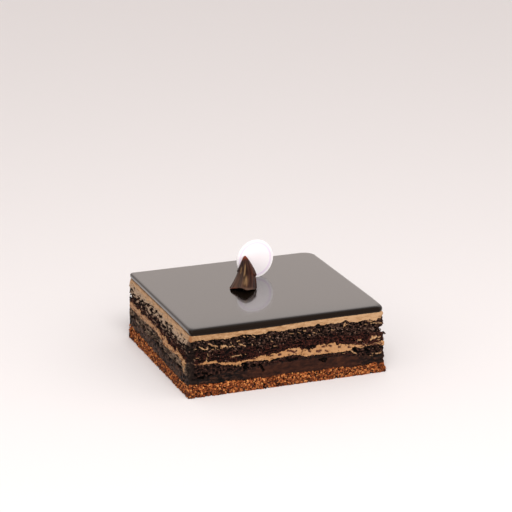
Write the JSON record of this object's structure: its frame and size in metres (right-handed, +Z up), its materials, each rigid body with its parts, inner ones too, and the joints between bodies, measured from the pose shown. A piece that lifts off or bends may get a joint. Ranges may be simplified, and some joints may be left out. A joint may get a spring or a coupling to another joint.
{
  "type": "opera cake",
  "caption": "Square-cut layered chocolate and coffee-cream cake with a mirror-smooth glaze, a crisp crumb base, a chocolate curl and a small round topper card.",
  "frame": {"origin": "middle of the cake's underside, on the surface that it stands on", "axes": "+Z up through the layers; +X along the longer side, to the right seen from the front; the front, which the card and the curl's mouth face, is towards -Y"},
  "size_m": [0.1436, 0.1305, 0.0765],
  "materials": {
    "crisp_base": "pressed wafer flakes bound with chocolate, rough and granular, red-brown with dark gaps and tan flakes",
    "ganache": "dense dark ganache, knife-cut, smooth with a soft sheen and a few small voids",
    "chocolate_sponge": "moist dark chocolate sponge, open torn crumb, rough, with small smears of cream",
    "coffee_cream": "coffee buttercream, knife-cut, satin, with crumbs dragged into its edges",
    "mirror_glaze": "mirror-smooth near-black chocolate glaze",
    "curl_chocolate": "scraped dark chocolate, satin, with pale drag streaks and a thin red-brown tip",
    "white_card": "smooth white card with a thin pale lilac ring near its edge, otherwise bare"
  },
  "bodies": {
    "root": {"crunch_base": "crisp_base", "ganache": "ganache", "lower_sponge": "chocolate_sponge", "lower_cream": "coffee_cream", "upper_sponge": "chocolate_sponge", "upper_cream": "coffee_cream", "glaze": "mirror_glaze", "chocolate_curl": "curl_chocolate", "topper_card": "white_card"}
  },
  "joints": []
}
